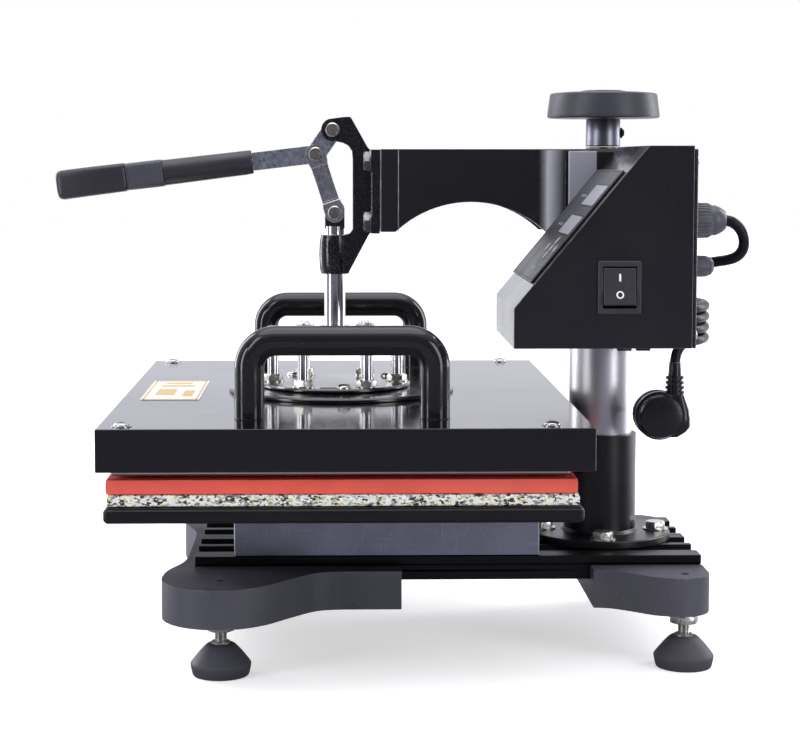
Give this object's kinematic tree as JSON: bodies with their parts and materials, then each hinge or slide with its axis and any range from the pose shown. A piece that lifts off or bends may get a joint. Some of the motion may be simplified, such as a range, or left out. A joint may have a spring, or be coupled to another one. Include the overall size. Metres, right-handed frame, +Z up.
{
  "type": "swing-away heat press",
  "caption": "Swing-away heat press with a toggle lever, chrome column, height knob, sloping control box, lift handles, padded lower platen and levelling feet.",
  "frame": {"origin": "centre of the machine's footprint on the floor, the lead left out", "axes": "+X from the lever's end towards the column, +Z up, the control box on the -Y side"},
  "size_m": [0.4682, 0.4, 0.3866],
  "materials": {
    "black_paint": "gloss powder coat",
    "black_satin": "satin powder coat",
    "black_casting": "painted casting",
    "rough_enamel": "enamel over a rough casting",
    "black_extrusion": "black anodised extrusion",
    "rubber": "matte",
    "black_plastic": "fine moulded texture",
    "grip": "soft sleeve",
    "chrome": "polished",
    "zinc": "zinc plated",
    "galvanised": "galvanised sheet",
    "aluminium": "milled",
    "silicone_red": "matte silicone sheet",
    "foam_fleck": "flecked bonded sponge",
    "insulation": "ceramic wool board",
    "panel": "satin overlay film"
  },
  "bodies": {
    "base": {"front_foot_beam": "black_casting", "rear_foot_beam": "black_casting", "near_base_rail": "black_extrusion", "far_base_rail": "black_extrusion", "support_channel": "galvanised", "lower_platen": "black_paint", "foam_pad": "foam_fleck", "silicone_pad": "silicone_red", "column_flange": "black_satin", "column": "chrome", "column_nut": "zinc", "flange_bolt_1": "zinc", "flange_bolt_2": "zinc", "flange_bolt_3": "zinc", "flange_bolt_4": "zinc"},
    "front_near_foot": {"foot_pad_front_near": "rubber", "foot_stud_front_near": "zinc"},
    "front_far_foot": {"foot_pad_front_far": "rubber", "foot_stud_front_far": "zinc"},
    "rear_near_foot": {"foot_pad_rear_near": "rubber", "foot_stud_rear_near": "zinc"},
    "rear_far_foot": {"foot_pad_rear_far": "rubber", "foot_stud_rear_far": "zinc"},
    "carriage": {"thrust_washer": "zinc"},
    "knob": {"pressure_knob": "black_plastic", "knob_stem": "chrome", "pressure_screw": "zinc"},
    "arm": {"swing_arm": "black_satin", "arm_collar": "black_satin", "box_bracket": "black_satin", "toggle_bracket": "rough_enamel", "bracket_bolt_1": "zinc", "bracket_bolt_2": "zinc", "bracket_bolt_3": "zinc", "bracket_bolt_4": "zinc", "lever_pivot_pin": "zinc", "control_box": "black_paint", "box_rear_plate": "black_paint", "display_panel": "panel", "switch_bezel": "black_plastic", "mains_gland": "black_plastic", "heater_gland": "black_plastic", "mains_cord": "rubber", "cord_coil": "rubber", "mains_plug": "black_plastic"},
    "rocker": {"switch_rocker": "black_plastic"},
    "platen": {"press_shaft": "chrome", "shaft_pin": "zinc", "crown_base": "black_paint", "crown_cage": "black_paint", "heating_plate": "aluminium", "insulation_pad": "insulation", "platen_cover": "black_paint", "lift_handle_near": "black_paint", "lift_handle_far": "black_paint"},
    "lever": {"lever_bar": "chrome", "lever_grip": "grip"},
    "link": {"toggle_link_near": "zinc", "toggle_link_far": "zinc", "link_pin": "zinc"}
  },
  "joints": [
    {"name": "front_near_level", "type": "slide", "parent": "base", "child": "front_near_foot", "axis": [0, 0, -1], "range_m": [0, 0.01]},
    {"name": "front_far_level", "type": "slide", "parent": "base", "child": "front_far_foot", "axis": [0, 0, -1], "range_m": [0, 0.01]},
    {"name": "rear_near_level", "type": "slide", "parent": "base", "child": "rear_near_foot", "axis": [0, 0, -1], "range_m": [0, 0.01]},
    {"name": "rear_far_level", "type": "slide", "parent": "base", "child": "rear_far_foot", "axis": [0, 0, -1], "range_m": [0, 0.01]},
    {"name": "height_adjust", "type": "slide", "parent": "base", "child": "carriage", "axis": [0, 0, 1], "range_m": [0, 0.025]},
    {"name": "knob_turn", "type": "hinge", "parent": "carriage", "child": "knob", "pos_m": [0.1593, 0, 0.3453], "axis": [0, 0, 1], "range_deg": [0, 1800]},
    {"name": "arm_swing", "type": "hinge", "parent": "carriage", "child": "arm", "pos_m": [0.1593, 0, 0.2879], "axis": [0, 0, 1], "range_deg": [-110, 110]},
    {"name": "platen_lift", "type": "slide", "parent": "arm", "child": "platen", "axis": [0, 0, 1], "range_m": [0, 0.02657]},
    {"name": "lever_swing", "type": "hinge", "parent": "arm", "child": "lever", "pos_m": [-0.0317, 0, 0.3588], "axis": [0, 1, 0], "range_deg": [0, 72]},
    {"name": "link_swing", "type": "hinge", "parent": "lever", "child": "link", "pos_m": [-0.0436, 0, 0.3418], "axis": [0, 1, 0], "range_deg": [-83.58, 0]},
    {"name": "switch_rock", "type": "hinge", "parent": "arm", "child": "rocker", "pos_m": [0.1456, -0.1745, 0.2593], "axis": [1, 0, 0], "range_deg": [0, 14]}
  ],
  "couplings": [
    {"joint": "knob_turn", "follows": "height_adjust", "rad_per_m": 1256.6},
    {"joint": "lever_swing", "follows": "platen_lift", "rad_per_m": 47.295},
    {"joint": "link_swing", "follows": "platen_lift", "rad_per_m": -54.87}
  ]
}
